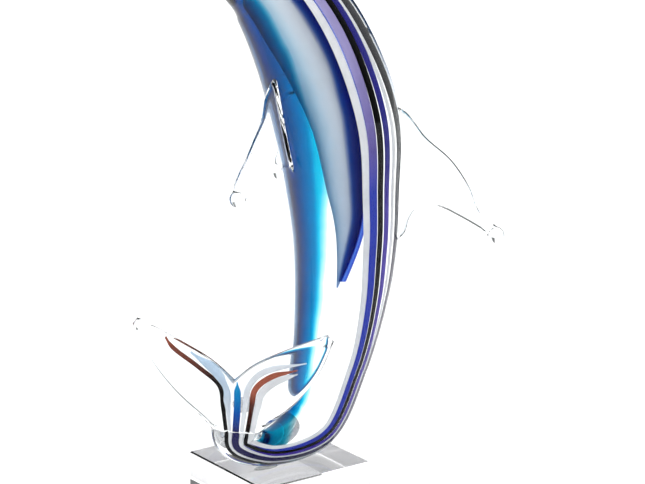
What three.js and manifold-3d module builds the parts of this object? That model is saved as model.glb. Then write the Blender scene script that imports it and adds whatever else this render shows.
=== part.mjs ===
// A leaping dolphin in cased art glass, standing on its tail on a polished crystal block.
// Millimetres, +Z up. The block's sides run along X and Y, and its underside is centred on the origin.
// The dolphin is drawn in a frame of its own: x to its right, y away, z up from the top of the block.
import * as THREE from "three";
import { mergeVertices } from "three/addons/utils/BufferGeometryUtils.js";
import Module from "manifold-3d";

// Block
const blockSide = 80;
const blockHeight = 40;
const blockBevel = 0.8;

// Figure
const dolphinHeight = 322; // foot to crown
const girth = 38.6; // radius of the body at its stoutest
const displayTurn = -35.5; // degrees that the figure is turned on the block
const footFlat = 1; // height at which the foot is ground flat
const footGround = 0.8; // depth of glass ground off the foot
const bondThickness = 0.4;
const clearance = 0.3; // between pieces that touch

// Colour laid inside the clear glass
const caneCover = 1.5; // clear glass over a cane
const caneThickness = 1.3;
const waistNarrowing = 0.85; // of the canes, from the shoulders to the middle
const tailNarrowing = 0.6; // of the canes, from the shoulders to the tail
const coreRadius = 8.5;
const corePoint = 0.4; // radius at the core's point
const coreInset = 3; // how far the core sits from the spine, towards the belly
const jacketThickness = 1.6;
const jacketGap = 0.5; // between the core and its jacket
const jacketHalfAngle = 76; // degrees of the core that the jacket covers, each way from the back
const streakCover = 11; // clear glass over the belly streak at the stoutest
const streakThickness = 2;
const streakHalfWidth = [62, 16]; // degrees, on the body and where it trails off into the tail

// Fins, tail and head
const finThickness = 4.6;
const flukeThickness = 5.6;
const flukeEdge = 1.4;
const knobRadius = 5.2;
const mouthOpening = 3;
const mouthDepth = 27;
const mouthSlope = 2.4; // how far the mouth's inner end lies below its opening
const blowholeRadius = 1.6;
const tailRootHeight = 26; // over which the round tail flattens into the flukes
const jointShare = 0.22; // of a fluke's span that grows from the joint itself

const bodyRings = 34;
const bodySides = 20;
const caneRings = 24;
const streakRings = 22;
const streakSides = 6;
const coreRings = 18;
const coreSides = 14;
const ribs = 24; // across the flukes
const ribPoints = 7; // up each face of a rib
const farReach = 200; // beyond the figure, for the solids that only cut

// The sections and outlines below are drawn for a figure of this height and girth.
const drawnHeight = 322;
const drawnGirth = 38.6;
const bendTop = 30; // height of the bend at the foot, which keeps its shape as the girth changes
const outScale = girth / drawnGirth;
const rise = (dolphinHeight - bendTop * outScale) / (drawnHeight - bendTop);

// Sections along the spine from the beak to the tail: the centre, then the radius across and the radius
// from back to belly as shares of the girth, then the way the back faces.
const sections = [
  { at: [-73, 18, 318], radii: [0.09, 0.07], back: [0, 0, 1] },
  { at: [-60, 18, 315], radii: [0.19, 0.17], back: [0, 0, 1] },
  { at: [-45, 18, 311], radii: [0.27, 0.26], back: [0.15, 0, 1] },
  { at: [-34, 18, 307], radii: [0.4, 0.41], back: [0.3, 0, 1] },
  { at: [-20, 18, 301], radii: [0.6, 0.61], back: [0.5, -0.1, 1] },
  { at: [-3, 18, 289], radii: [0.77, 0.77], back: [0.8, -0.2, 0.8] },
  { at: [18, 18, 256.5], radii: [0.92, 0.92], back: [0.97, -0.24, 0.5] },
  { at: [34.5, 18, 208], radii: [1, 1], back: [0.97, -0.24, 0.2] },
  { at: [39, 18, 165], radii: [0.9, 0.9], back: [0.97, -0.24, 0] },
  { at: [40.3, 18, 133], radii: [0.83, 0.83], back: [0.97, -0.24, 0] },
  { at: [38, 17.5, 100], radii: [0.75, 0.75], back: [0.97, -0.24, -0.1] },
  { at: [31, 12, 58.5], radii: [0.62, 0.62], back: [0.95, -0.3, -0.3] },
  { at: [18.5, -0.5, 22.3], radii: [0.49, 0.48], back: [0.7, -0.5, -0.6] },
  { at: [-8, -20.5, 12.9], radii: [0.35, 0.27], back: [0.4, -0.7, -0.62] },
  { at: [-25, -29.6, 21], radii: [0.38, 0.24], back: [-0.2, -0.9, -0.3] },
  { at: [-25.3, -30, 29], radii: [0.43, 0.23], back: [-0.34, -0.94, 0] },
];

const trunkSection = 8; // the one that the fins stand on
const lowestSection = 13;

// Where the colours start and stop, as shares of the spine's length from the beak.
const coreSpan = [0.3, 0.655];
const caneSpan = [0.33, 1];
const streakSpan = [0.37, 1];
const jacketSpan = [0.1, 0.96]; // as shares of the core's length

// Canes by their angle from the ridge of the back at the shoulders, the middle, low down and the tail, and, for
// those that run on, by the points that they pass in the tail: across it, and up from the joint.
const canes = [
  {
    name: "navy_ridge", angle: [7, 4, -1, 0], halfWidth: 5, colour: 0x2d2b55,
    flukePath: [[0, 14], [0, 26]],
  },
  {
    name: "fine_white_left", angle: [20.3, 17.3, 8.5, 13], halfWidth: 3, colour: 0xcfd4dc,
    flukePath: [[4.5, 18], [17, 36], [37, 49]],
  },
  { name: "violet_left", angle: [28, 25, 15.5, 22], halfWidth: 3, colour: 0x48399e },
  {
    name: "black_left", angle: [37, 32.4, 24.5, 30], halfWidth: 3.6, colour: 0x26262a,
    flukePath: [[9.5, 18], [23, 31], [43, 43]],
  },
  { name: "cobalt_left", angle: [46, 41.7, 34, 38], halfWidth: 3.8, colour: 0x36469e },
  {
    name: "broad_white_left", angle: [55.5, 50.7, 43, 48], halfWidth: 4.1, colour: 0xd5d8e0,
    flukePath: [[15, 17], [28, 26], [47, 37]],
  },
  {
    name: "fine_white_right", angle: [-18, -15, -12, -13], halfWidth: 3.2, colour: 0xcfd4dc,
    flukePath: [[-4.5, 18], [-17, 36], [-37, 49]],
  },
  {
    name: "black_right", angle: [-32, -28, -25, -27], halfWidth: 4, colour: 0x26262a,
    flukePath: [[-8.5, 18], [-22, 31], [-43, 43]],
  },
  { name: "cobalt_right", angle: [-46, -42, -37, -38], halfWidth: 4, colour: 0x36469e },
];

// The tail's outer and upper edges on one side, beyond the joint and from the notch out to the tip.
const flukeOuterEdge = [[37, 17.5], [54, 39], [64.4, 61]];
const flukeUpperEdge = [[0, 31], [14, 42.5], [32, 52], [60.8, 65]];

// Fin outlines: out from the plane's foot, and height above the block.
const dorsalOutline = [
  [15, 222], [37, 215], [50.4, 199.5], [66, 186.5], [77, 171], [83.5, 156], [94, 146.5],
  [93, 139], [85, 145], [70, 153], [57, 158], [46.5, 157], [41, 149], [37, 138], [15, 128],
];
const pectoralOutline = [
  [-16, 236], [5, 240], [13, 227], [15.4, 214], [20.3, 202], [25.3, 190.5], [33, 172],
  [28, 165], [21, 171], [14.8, 176], [8.8, 181], [0, 184], [-8, 176], [-16, 182],
];
const dorsalKnob = [94, 142];
const pectoralKnob = [30.6, 166.5];
const pectoralFoot = { towardsBack: -27.4, outwards: 30.5, splay: 32 };
const farFinDroop = 5;

const wasm = await Module();
wasm.setup();

const { lerp, degToRad, radToDeg, smoothstep } = THREE.MathUtils;
const spine = new THREE.CatmullRomCurve3(
  sections.map(({ at: [x, y, z] }) => new THREE.Vector3(x * outScale, y * outScale, heightOf(z))),
);

// The radii as a smooth curve, so that the body swells and narrows without a crease.
const radii = new THREE.CatmullRomCurve3(
  sections.map((section) => new THREE.Vector3(...section.radii, 0).multiplyScalar(girth)),
  false,
  "catmullrom",
);

// A drawn height at the figure's own size: the bend follows the girth, and what is above it the height.
function heightOf(up) {
  const low = Math.min(up, bendTop);
  return low * outScale + (up - low) * rise;
}

// Stands the figure with its foot at the block, whatever its height and girth.
const underside = Math.min(...outsideRings(0).flat().map((point) => point.z));
const lift = footFlat - footGround - underside;
spine.points.forEach((point) => point.setZ(point.z + lift));

function steps(count) {
  return Array.from({ length: count + 1 }, (unused, i) => i / count);
}

// The way the back faces, straight between one section and the next.
function backAt(share) {
  const place = share * (sections.length - 1);
  const index = Math.min(Math.floor(place), sections.length - 2);
  const from = new THREE.Vector3(...sections[index].back);
  return from.lerp(new THREE.Vector3(...sections[index + 1].back), place - index);
}

// The body's cross-section at a share of the way from beak to tail, with an outward allowance.
function sectionAt(share, allowance = 0) {
  const centre = spine.getPoint(share);
  const along = spine.getTangent(share);
  const back = backAt(share);
  back.addScaledVector(along, -back.dot(along)).normalize();
  const side = new THREE.Vector3().crossVectors(along, back);
  const { x, y } = radii.getPoint(share);
  return { centre, along, back, side, across: x + allowance, deep: y + allowance };
}

// A point of a section by its angle from the back, with the radius worked out from the section's own.
function pointAt(cut, degrees, radius) {
  const angle = degToRad(degrees);
  return cut.centre
    .clone()
    .addScaledVector(cut.side, radius(cut.across) * Math.sin(angle))
    .addScaledVector(cut.back, radius(cut.deep) * Math.cos(angle));
}

// A closed body through rings of points, with both ends closed over.
function skin(rings) {
  const points = rings.flat();
  const size = rings[0].length;
  const faces = [];
  for (let ring = 0; ring < rings.length - 1; ring++) {
    for (let i = 0; i < size; i++) {
      const a = ring * size + i;
      const b = ring * size + ((i + 1) % size);
      faces.push(a, b, a + size, b, b + size, a + size);
    }
  }
  const lastRing = (rings.length - 1) * size;
  for (const [first, step] of [[0, -1], [lastRing, 1]]) {
    const middle = new THREE.Vector3();
    points.slice(first, first + size).forEach((point) => middle.addScaledVector(point, 1 / size));
    const hub = points.push(middle) - 1;
    for (let i = 0; i < size; i++) {
      faces.push(hub, first + i, first + ((i + step + size) % size));
    }
  }
  const geometry = new THREE.BufferGeometry().setFromPoints(points);
  geometry.setIndex(faces);
  return facingOut(geometry);
}

// Turns every face of a closed body round where they face inwards.
function facingOut(geometry) {
  const index = geometry.index.array;
  const corner = (i) => new THREE.Vector3().fromBufferAttribute(geometry.attributes.position, index[i]);
  let volume = 0;
  for (let i = 0; i < index.length; i += 3) {
    volume += corner(i).dot(corner(i + 1).cross(corner(i + 2)));
  }
  if (volume < 0) {
    index.reverse();
  }
  return geometry;
}

function solid(geometry) {
  const bare = geometry.clone();
  bare.deleteAttribute("normal");
  bare.deleteAttribute("uv");
  const merged = mergeVertices(bare, 1e-4);
  const vertProperties = new Float32Array(merged.attributes.position.array);
  const triVerts = new Uint32Array(merged.index.array);
  return new wasm.Manifold(new wasm.Mesh({ numProp: 3, vertProperties, triVerts }));
}

function geometryOf(manifold) {
  const mesh = manifold.getMesh();
  const geometry = new THREE.BufferGeometry();
  geometry.setAttribute("position", new THREE.BufferAttribute(mesh.vertProperties, 3));
  geometry.setIndex(new THREE.BufferAttribute(mesh.triVerts, 1));
  geometry.computeVertexNormals();
  return geometry;
}

function glass(color, opacity = 1) {
  const transparent = opacity < 1;
  return new THREE.MeshStandardMaterial({ color, roughness: 0.05, metalness: 0, transparent, opacity });
}

function piece(name, shape, material) {
  const mesh = new THREE.Mesh(shape.isBufferGeometry ? shape : geometryOf(shape), material);
  mesh.name = name;
  return mesh;
}

// The outside of the body, from the beak to its joint with the tail.
function outsideRings(allowance) {
  return steps(bodyRings).map((share) => {
    const cut = sectionAt(share, allowance);
    return steps(bodySides).slice(1).map((turn) => pointAt(cut, turn * 360, (radius) => radius));
  });
}

function bodySolid(allowance = 0) {
  return solid(skin(outsideRings(allowance)));
}

// A layer that follows the body between two shares of its length: wide in angle, thin in depth. A share
// gives its middle angle, half width and cover; grow swells it and past runs it on through the joint.
function layer({ span, count, bend, angle, halfWidth, cover, thickness, grow = 0, past = 0 }) {
  const rings = steps(count).map((step) => {
    const share = lerp(span[0], span[1], step);
    const cut = sectionAt(share);
    const reach = halfWidth(share) + radToDeg(grow / (cut.across - cover(share)));
    const turns = steps(bend).map((turn) => angle(share) + reach * (2 * turn - 1));
    const outside = turns.map((turn) => pointAt(cut, turn, (radius) => radius - cover(share) + grow));
    const depth = cover(share) + thickness(share) + grow;
    const inside = turns.map((turn) => pointAt(cut, turn, (radius) => radius - depth));
    return [...outside, ...inside.reverse()];
  });
  const first = sectionAt(span[0]).along;
  rings[0].forEach((point) => point.addScaledVector(first, -grow));
  if (past > 0) {
    const last = sectionAt(span[1]).along;
    rings.push(rings.at(-1).map((point) => point.clone().addScaledVector(last, past)));
  }
  return solid(skin(rings));
}

function caneLayer(cane, swelling = {}) {
  // From the value at the shoulders to the ones at the middle, low down and the tail.
  const along = (values) => (share) => {
    const upper = lerp(values[0], values[1], smoothstep(share, 0.4, 0.6));
    const lower = lerp(upper, values[2], smoothstep(share, 0.6, 0.75));
    return lerp(lower, values[3], smoothstep(share, 0.8, 0.97));
  };
  const narrowing = along([1, waistNarrowing, tailNarrowing, tailNarrowing]);
  return layer({
    span: caneSpan,
    count: caneRings,
    bend: 1,
    angle: along(cane.angle),
    halfWidth: (share) => cane.halfWidth * narrowing(share),
    cover: () => caneCover,
    thickness: () => caneThickness,
    ...swelling,
  });
}

function bellyStreak(swelling = {}) {
  const stoutness = (share) => radii.getPoint(share).y / girth;
  return layer({
    span: streakSpan,
    count: streakRings,
    bend: streakSides,
    angle: () => 180,
    halfWidth: (share) => lerp(...streakHalfWidth, smoothstep(share, 0.7, 0.9)),
    cover: (share) => streakCover * stoutness(share),
    thickness: (share) => streakThickness * lerp(0.35, 1, stoutness(share)),
    ...swelling,
  });
}

// The core narrows from the head to a point in the middle of the body.
function coreRingAt(step, grow, turns, part = 1) {
  const share = lerp(coreSpan[0], coreSpan[1], step);
  const cut = sectionAt(share);
  const head = smoothstep(step, -0.15, 0.2);
  const taper = Math.sqrt(1 - step ** 2);
  const size = part * Math.max(coreRadius * head * taper, corePoint) + grow;
  cut.centre.addScaledVector(cut.back, -coreInset * head);
  return turns.map((turn) => pointAt(cut, turn, () => size));
}

function opalCore(grow = 0) {
  const turns = steps(coreSides).slice(1).map((turn) => turn * 360);
  return solid(skin(steps(coreRings).map((step) => coreRingAt(step, grow, turns))));
}

// The cobalt jacket wraps the core on the side of the back. Grown, it reaches into the core's own room.
function cobaltJacket(grow = 0) {
  const halfAngle = jacketHalfAngle + grow * 3;
  const turns = steps(8).map((turn) => halfAngle * (2 * turn - 1));
  const longer = grow * 0.006;
  const rings = steps(coreRings - 2).map((step) => {
    const along = lerp(jacketSpan[0] - longer, jacketSpan[1] + longer, step);
    const outside = coreRingAt(along, jacketGap + jacketThickness + grow, turns);
    const inside = grow > 0 ? coreRingAt(along, 0, turns, 0.4) : coreRingAt(along, jacketGap, turns);
    return [...outside, ...inside.reverse()];
  });
  return solid(skin(rings));
}

// The hole on the crown through which the core was cased.
function blowhole() {
  const cut = sectionAt(coreSpan[0] + 0.01);
  const hole = new THREE.CylinderGeometry(blowholeRadius, blowholeRadius, cut.deep * 1.5, 12);
  hole.translate(0, cut.deep * 0.75 - coreInset, 0);
  hole.applyQuaternion(new THREE.Quaternion().setFromUnitVectors(new THREE.Vector3(0, 1, 0), cut.back));
  hole.translate(cut.centre.x, cut.centre.y, cut.centre.z);
  return solid(hole);
}

// A wedge that parts the beak into its two jaws.
function mouth() {
  const tip = spine.getPoint(0);
  const half = mouthOpening / 2;
  const before = -4; // clear of the tip, so that the wedge cuts right through it
  const wedge = new THREE.Shape();
  wedge.moveTo(before, -half);
  wedge.lineTo(mouthDepth, -mouthSlope);
  wedge.lineTo(before, half);
  const cutter = new THREE.ExtrudeGeometry(wedge, { depth: 2 * girth, bevelEnabled: false });
  cutter.translate(0, 0, -girth);
  cutter.rotateX(Math.PI / 2);
  cutter.translate(tip.x, tip.y, tip.z - mouthOpening / 5);
  return solid(cutter);
}

// Everything below the ground foot, to be cut away.
function underFoot() {
  const slab = new THREE.BoxGeometry(farReach, farReach, farReach);
  slab.translate(0, 0, footFlat - farReach / 2);
  return solid(slab);
}

function bodyCasing() {
  let casing = bodySolid().subtract(underFoot()).subtract(mouth()).subtract(blowhole());
  casing = casing.subtract(opalCore(clearance)).subtract(cobaltJacket(clearance));
  casing = casing.subtract(bellyStreak({ grow: 1.4 * clearance, past: 2 }));
  for (const cane of canes) {
    casing = casing.subtract(caneLayer(cane, { grow: clearance, past: 2 }));
  }
  return piece("body_casing", casing, clear);
}

// A frame with its first axis along the back of the upright body, its third up, and its foot on the block.
function uprightFrame() {
  const trunk = sectionAt(trunkSection / (sections.length - 1));
  const facing = Math.atan2(trunk.back.y, trunk.back.x);
  const frame = new THREE.Matrix4().makeRotationZ(facing);
  return frame.setPosition(trunk.centre.x, trunk.centre.y, lift);
}

// A fin: a plate with rounded edges and a blob of glass at its tip, cut to seat on the body.
function fin(name, outline, knob, placing) {
  const round = finThickness * 0.3;
  const points = outline.map(([out, up]) => new THREE.Vector2(out * outScale, heightOf(up)));
  const plate = new THREE.ExtrudeGeometry(new THREE.Shape(points), {
    depth: finThickness - 2 * round,
    bevelThickness: round,
    bevelSize: round,
    bevelOffset: -round,
    bevelSegments: 2,
  });
  plate.translate(0, 0, round - finThickness / 2);
  const blob = new THREE.SphereGeometry(knobRadius, 14, 10);
  blob.translate(knob[0] * outScale, heightOf(knob[1]), 0);
  const standing = new THREE.Matrix4().makeRotationX(Math.PI / 2);
  const place = uprightFrame().multiply(placing).multiply(standing);
  const whole = solid(plate).add(solid(blob)).transform(place.elements);
  return piece(name, whole.subtract(bodySolid(clearance)), clear);
}

function pectoralPlacing(hand) {
  const { towardsBack, outwards, splay } = pectoralFoot;
  const placing = new THREE.Matrix4().makeRotationZ(Math.PI + hand * degToRad(splay));
  return placing.setPosition(towardsBack * outScale, -hand * outwards * outScale, hand < 0 ? -farFinDroop : 0);
}

// The tail's own frame: across, forwards and up from the joint.
function tailFrame() {
  const end = sectionAt(1);
  const frame = new THREE.Matrix4().makeBasis(end.side, end.back, end.along);
  return { frame: frame.setPosition(end.centre), across: end.across, deep: end.deep };
}

// How far the tail's faces stand from its middle: round at the joint, a plate beyond it.
function tailHalfDepth(tail, x, up) {
  const stock = tail.deep * Math.sqrt(Math.max(0, 1 - (x / tail.across) ** 2));
  const flat = smoothstep(up, 2, tailRootHeight);
  return Math.max(lerp(stock, flukeThickness / 2, flat), flukeEdge / 2);
}

function tailSolid(tail) {
  const curve = (points) => new THREE.CatmullRomCurve3(points.map(([x, up]) => new THREE.Vector3(x, 0, up)));
  const outer = curve([[tail.across / outScale, 0], ...flukeOuterEdge]);
  const upper = curve(flukeUpperEdge);
  const rings = steps(ribs).map((step) => {
    const reach = Math.abs(2 * step - 1);
    const hand = Math.sign(2 * step - 1) || 1;
    const overJoint = reach < jointShare;
    const low = overJoint
      ? new THREE.Vector3((reach / jointShare) * tail.across, 0, 0)
      : outer.getPoint((reach - jointShare) / (1 - jointShare)).multiplyScalar(outScale);
    const high = upper.getPoint(reach).multiplyScalar(outScale);
    const face = steps(ribPoints).map((part) => {
      const at = low.clone().lerp(high, part);
      // Thinned towards the outer edge, away from the joint, and towards the upper edge.
      const rim = (overJoint ? 1 : smoothstep(part, -0.1, 0.3)) * smoothstep(1 - part, -0.1, 0.2);
      const half = Math.max(tailHalfDepth(tail, at.x, at.z) * rim, flukeEdge / 2);
      return { x: at.x * hand, up: Math.max(at.z, clearance), half };
    });
    const front = face.map(({ x, up, half }) => new THREE.Vector3(x, half, up));
    const rear = face.map(({ x, up, half }) => new THREE.Vector3(x, -half, up));
    return [...front, ...rear.reverse()];
  });
  return solid(skin(rings));
}

// A cane's run in the tail: from the joint, where it meets its run in the body, up into a fluke.
function tailCane(tail, cane, grow = 0) {
  const angle = degToRad(cane.angle[3]);
  const radius = (size) => size - caneCover - caneThickness / 2;
  const start = new THREE.Vector3(radius(tail.across) * Math.sin(angle), radius(tail.deep) * Math.cos(angle), 0);
  // The first point is still part of the way forwards, as the tail flattens.
  const beyond = cane.flukePath.map(([x, up], i) => new THREE.Vector3(x, i === 0 ? 0.35 * start.y : 0, up));
  beyond.forEach((point) => point.multiply(new THREE.Vector3(outScale, 1, outScale)));
  const run = new THREE.CatmullRomCurve3([start, ...beyond]);
  const halfWidth = degToRad(cane.halfWidth * tailNarrowing) * tail.across + grow;
  const half = caneThickness / 2 + grow;
  const forwards = new THREE.Vector3(0, 1, 0);
  const rings = steps(10).map((step) => {
    const at = run.getPoint(step);
    const tangent = run.getTangent(step).setY(0).normalize();
    const across = new THREE.Vector3().crossVectors(tangent, forwards);
    at.addScaledVector(tangent, grow * (2 * step - 1));
    at.z = Math.max(at.z, grow > 0 ? -1 : clearance);
    return [[1, 1], [-1, 1], [-1, -1], [1, -1]].map(([sideways, towards]) => {
      const corner = at.clone().addScaledVector(across, sideways * halfWidth);
      return corner.addScaledVector(forwards, towards * half);
    });
  });
  return solid(skin(rings));
}

function tailPieces() {
  const tail = tailFrame();
  const place = (shape) => shape.transform(tail.frame.elements);
  const running = canes.filter((cane) => cane.flukePath);
  let flukes = tailSolid(tail);
  for (const cane of running) {
    flukes = flukes.subtract(tailCane(tail, cane, clearance));
  }
  const pieces = running.map((cane) => {
    const shape = place(tailCane(tail, cane));
    return piece(`${cane.name}_tail_cane`, shape, glass(cane.colour));
  });
  return [piece("tail_flukes", place(flukes), clear), ...pieces];
}

// The film of clear adhesive under the ground foot.
function bondPad() {
  const low = sectionAt(lowestSection / (sections.length - 1));
  const pad = new THREE.CylinderGeometry(1, 1, bondThickness, 28);
  pad.rotateX(Math.PI / 2);
  pad.scale(low.across * 0.6, low.deep * 0.3, 1);
  const along = Math.atan2(low.along.y, low.along.x);
  pad.rotateZ(along);
  const mesh = piece("bond_pad", pad, glass(0xf4f6f2, 0.5));
  mesh.position.set(low.centre.x, low.centre.y, footFlat / 2);
  return mesh;
}

function crystalBlock() {
  const half = blockSide / 2 - blockBevel;
  const square = new THREE.Shape();
  square.moveTo(-half, -half);
  square.lineTo(half, -half);
  square.lineTo(half, half);
  square.lineTo(-half, half);
  const block = new THREE.ExtrudeGeometry(square, {
    depth: blockHeight - 2 * blockBevel,
    bevelThickness: blockBevel,
    bevelSize: blockBevel,
    bevelSegments: 1,
  });
  block.translate(0, 0, blockBevel);
  return piece("crystal_block", block, clear);
}

const clear = glass(0xeef3f6, 0.35);
const dolphin = new THREE.Group();
dolphin.position.z = blockHeight;
dolphin.rotation.z = degToRad(displayTurn);
dolphin.add(
  bodyCasing(),
  piece("opal_core", opalCore(), glass(0xbac6d8)),
  piece("cobalt_jacket", cobaltJacket(), glass(0x253d8a, 0.8)),
  piece("belly_streak", bellyStreak(), glass(0x0171ad, 0.8)),
  ...canes.map((cane) => piece(`${cane.name}_cane`, caneLayer(cane), glass(cane.colour))),
  fin("dorsal_fin", dorsalOutline, dorsalKnob, new THREE.Matrix4()),
  fin("left_pectoral_fin", pectoralOutline, pectoralKnob, pectoralPlacing(1)),
  fin("right_pectoral_fin", pectoralOutline, pectoralKnob, pectoralPlacing(-1)),
  ...tailPieces(),
  bondPad(),
);

const figurine = new THREE.Group();
figurine.add(crystalBlock(), dolphin);

export default figurine;
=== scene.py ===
import math
import bmesh
import bpy
from mathutils import Matrix, Vector


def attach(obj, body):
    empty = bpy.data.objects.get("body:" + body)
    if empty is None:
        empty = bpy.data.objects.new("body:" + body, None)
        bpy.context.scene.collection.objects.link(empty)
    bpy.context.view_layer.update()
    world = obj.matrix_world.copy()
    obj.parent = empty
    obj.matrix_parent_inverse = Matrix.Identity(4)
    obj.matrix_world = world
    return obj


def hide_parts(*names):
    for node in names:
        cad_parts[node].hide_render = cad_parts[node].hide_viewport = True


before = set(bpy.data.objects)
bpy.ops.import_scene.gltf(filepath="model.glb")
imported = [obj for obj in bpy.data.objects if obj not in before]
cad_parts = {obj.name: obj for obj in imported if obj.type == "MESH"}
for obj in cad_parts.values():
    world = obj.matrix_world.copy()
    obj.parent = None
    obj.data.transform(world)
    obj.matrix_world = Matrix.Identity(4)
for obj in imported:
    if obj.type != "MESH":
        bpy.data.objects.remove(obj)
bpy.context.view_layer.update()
print("frame loaded")

# The dolphin is drawn in millimetres: x from its belly to its back, y from its left to its right, z up from
# the top of the block.
figure = {
    "blockTop": 40.0,
    "turn": -35.5,           # degrees on the block
    "girth": 38.6,           # radius at the stoutest
    "footFlat": 1.0,         # height where the foot is ground flat
    "lift": 0.46,            # of the drawn spine, so that the foot stands on the block
    "rings": 260,
    "crowding": 1.12,        # over 1, the rings stand closer towards the beak
    "tipShare": 0.02,        # share of the length over which the beak rounds off
    "tipLeast": 0.04,        # share of the section that is left at the very tip
    "jointSteps": 24,        # steps across half the joint with the tail
    # centre, radii across and back to belly as shares of the girth, the way the back faces
    "sections": [
        ((-73, 18, 318), (0.09, 0.07), (0, 0, 1)),
        ((-60, 18, 315), (0.19, 0.17), (0, 0, 1)),
        ((-45, 18, 311), (0.27, 0.26), (0.15, 0, 1)),
        ((-34, 18, 307), (0.4, 0.41), (0.3, 0, 1)),
        ((-20, 18, 301), (0.6, 0.61), (0.5, -0.1, 1)),
        ((-3, 18, 289), (0.77, 0.77), (0.8, -0.2, 0.8)),
        ((18, 18, 256.5), (0.92, 0.92), (0.97, -0.24, 0.5)),
        ((34.5, 18, 208), (1, 1), (0.97, -0.24, 0.2)),
        ((39, 18, 165), (0.9, 0.9), (0.97, -0.24, 0)),
        ((40.3, 18, 133), (0.83, 0.83), (0.97, -0.24, 0)),
        ((38, 17.5, 100), (0.75, 0.75), (0.97, -0.24, -0.1)),
        ((31, 12, 58.5), (0.62, 0.62), (0.95, -0.3, -0.3)),
        ((18.5, -0.5, 22.3), (0.49, 0.48), (0.7, -0.5, -0.6)),
        ((-8, -20.5, 12.9), (0.35, 0.27), (0.4, -0.7, -0.62)),
        ((-25, -29.6, 21), (0.38, 0.24), (-0.2, -0.9, -0.3)),
        ((-25.3, -30, 29), (0.43, 0.23), (-0.34, -0.94, 0)),
    ],
}
sections = figure["sections"]
toRow = Matrix.Scale(0.001, 4) @ Matrix.Translation((0, 0, figure["blockTop"])) @ Matrix.Rotation(
    math.radians(figure["turn"]), 4, "Z")


def lerp(a, b, t):
    return a + (b - a) * t


def smooth(value, low, high):
    t = min(max((value - low) / (high - low), 0), 1)
    return t * t * (3 - 2 * t)


# A smooth curve through points; centripetal keeps it from swinging out between uneven ones.
def through(points, share, centripetal=False):
    last = len(points) - 1
    place = min(max(share, 0), 1) * last
    i = min(int(place), last - 1)
    t = place - i
    p1, p2 = points[i], points[i + 1]
    p0 = points[i - 1] if i > 0 else 2 * p1 - p2
    p3 = points[i + 2] if i + 2 <= last else 2 * p2 - p1
    m1, m2 = (p2 - p0) / 2, (p3 - p1) / 2
    if centripetal:
        d0, d1, d2 = [max((b - a).length, 1e-4) ** 0.5 for a, b in ((p0, p1), (p1, p2), (p2, p3))]
        m1 = ((p1 - p0) / d0 - (p2 - p0) / (d0 + d1) + (p2 - p1) / d1) * d1
        m2 = ((p2 - p1) / d1 - (p3 - p1) / (d1 + d2) + (p3 - p2) / d2) * d1
    return p1 + m1 * t + (3 * (p2 - p1) - 2 * m1 - m2) * t ** 2 + (2 * (p1 - p2) + m1 + m2) * t ** 3


spinePoints = [Vector(s[0]) + Vector((0, 0, figure["lift"])) for s in sections]
radiusPoints = [Vector(s[1]) * figure["girth"] for s in sections]
backPoints = [Vector(s[2]) for s in sections]


# The body's cross-section at a share of the way from beak to tail.
def sectionAt(share):
    centre = through(spinePoints, share, True)
    step = 1e-4
    before = through(spinePoints, max(share - step, 0), True)
    after = through(spinePoints, min(share + step, 1), True)
    along = (after - before).normalized()
    back = through(backPoints, share)
    back = (back - along * back.dot(along)).normalized()
    radii = through(radiusPoints, share)
    return {"centre": centre, "along": along, "back": back, "side": along.cross(back), "across": radii.x,
            "deep": radii.y}


def pointAt(cut, degrees, inset=0.0):
    a = math.radians(degrees)
    return (cut["centre"] + cut["side"] * ((cut["across"] - inset) * math.sin(a))
            + cut["back"] * ((cut["deep"] - inset) * math.cos(a)))


def linear(hexColour, alpha=1.0):
    parts = [int(hexColour[i:i + 2], 16) / 255 for i in (1, 3, 5)]
    return tuple(c / 12.92 if c <= 0.04045 else ((c + 0.055) / 1.055) ** 2.4 for c in parts) + (alpha,)


# Adds one node with its settings and links. The setting "stops" holds a ramp's places and colours.
def addNode(tree, kind, settings=None, **inputs):
    node = tree.nodes.new(kind)
    for name, value in (settings or {}).items():
        if name == "stops":
            elements = node.color_ramp.elements
            while len(elements) < len(value):
                elements.new(0.5)
            for element, (place, colour) in zip(elements, value):
                element.position = place
                element.color = linear(colour)
        else:
            setattr(node, name, value)
    for name, value in inputs.items():
        numbered = name[0] == "_" and name[1:].isdigit()
        socket = node.inputs[int(name[1:]) if numbered else name.replace("_", " ")]
        if isinstance(value, bpy.types.NodeSocket):
            tree.links.new(value, socket)
        else:
            socket.default_value = value
    return node


def startMaterial(name):
    material = bpy.data.materials.new(name)
    material.use_nodes = True
    material.node_tree.nodes.clear()
    return material, material.node_tree


def finishMaterial(tree, shader):
    addNode(tree, "ShaderNodeOutputMaterial", Surface=shader.outputs[0])


# Furnace-worked soda-lime glass: fire-polished, so it is mirror smooth, with the slow waves that the
# tools leave, which bend what is seen through it a little. Specular Tint holds its mirroring face on below
# that of real glass, so that the colours inside stay deep.
def clearGlass(name="Fire-polished clear soda-lime glass", tint="#f7fafb", ior=1.5, wave=22.0, bump=0.05):
    material, tree = startMaterial(name)
    place = addNode(tree, "ShaderNodeTexCoord").outputs["Object"]
    waves = addNode(tree, "ShaderNodeTexNoise", Vector=place, Scale=1000 / wave, Detail=1.0)
    relief = addNode(tree, "ShaderNodeBump", Strength=bump, Distance=0.001, Height=waves.outputs[0])
    shader = addNode(tree, "ShaderNodeBsdfPrincipled", Base_Color=linear(tint), Roughness=0.0, IOR=ior,
                     Specular_Tint=(0.25, 0.25, 0.25, 1), Transmission_Weight=1.0, Normal=relief.outputs[0])
    finishMaterial(tree, shader)
    return material


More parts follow.
